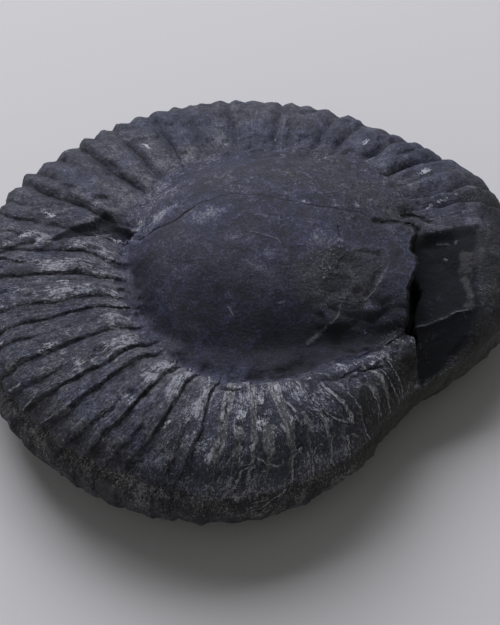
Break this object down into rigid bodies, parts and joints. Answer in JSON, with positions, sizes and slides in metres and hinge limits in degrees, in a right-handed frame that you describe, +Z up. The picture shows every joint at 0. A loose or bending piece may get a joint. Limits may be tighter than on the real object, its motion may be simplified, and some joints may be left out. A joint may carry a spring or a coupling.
{
  "type": "ammonite fossil",
  "caption": "Ribbed ammonite preserved in black stone, one solid piece lying on its side, with a smooth domed centre and a broken body chamber.",
  "frame": {"origin": "middle of the object's box, on the surface that it lies on", "axes": "+Z up out of the side with the dome, +X towards the broken end of the last whorl"},
  "size_m": [0.1414, 0.1284, 0.0501],
  "materials": {
    "black_stone": "worn matt black stone with a bluish cast, rubbed pale on the rib crests, brown clay in the grooves"
  },
  "bodies": {
    "root": {"ammonite_stone": "black_stone"}
  },
  "joints": []
}
